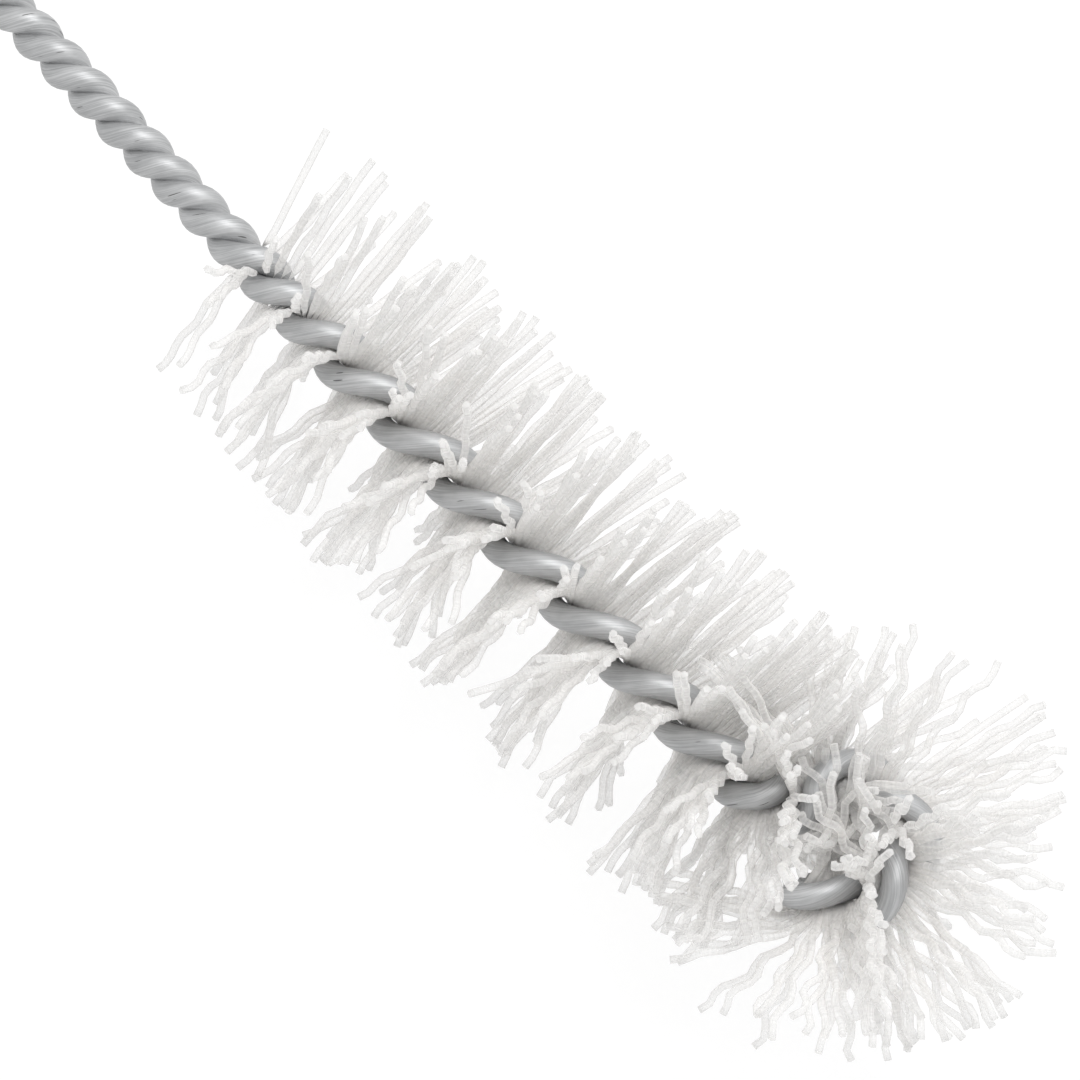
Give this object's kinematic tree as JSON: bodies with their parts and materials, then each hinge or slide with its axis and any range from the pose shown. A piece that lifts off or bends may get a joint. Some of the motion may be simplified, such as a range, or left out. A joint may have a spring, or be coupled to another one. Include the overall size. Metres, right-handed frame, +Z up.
{
  "type": "bottle brush",
  "caption": "Twisted-wire bottle brush with a spiral of nylon bristles, a curled fan-shaped tip and a wire hanging eye, for cleaning narrow tubes and small bottles.",
  "frame": {"origin": "On the surface that the brush lies on, under the middle of its bounding box.", "axes": "+X runs along the stem from the hanging eye to the tip, +Z is up, and the flat eye and the tip's loop lie nearly level."},
  "size_m": [0.1699, 0.0257, 0.0227],
  "materials": {
    "steel_wire": "satin",
    "nylon": "satin"
  },
  "bodies": {
    "root": {"twisted_wire": "steel_wire", "bristle_tuft_01": "nylon", "bristle_tuft_02": "nylon", "bristle_tuft_03": "nylon", "bristle_tuft_04": "nylon", "bristle_tuft_05": "nylon", "bristle_tuft_06": "nylon", "bristle_tuft_07": "nylon", "bristle_tuft_08": "nylon", "bristle_tuft_09": "nylon", "bristle_tuft_10": "nylon", "bristle_tuft_11": "nylon", "bristle_tuft_12": "nylon", "bristle_tuft_13": "nylon", "bristle_tuft_14": "nylon"}
  },
  "joints": []
}
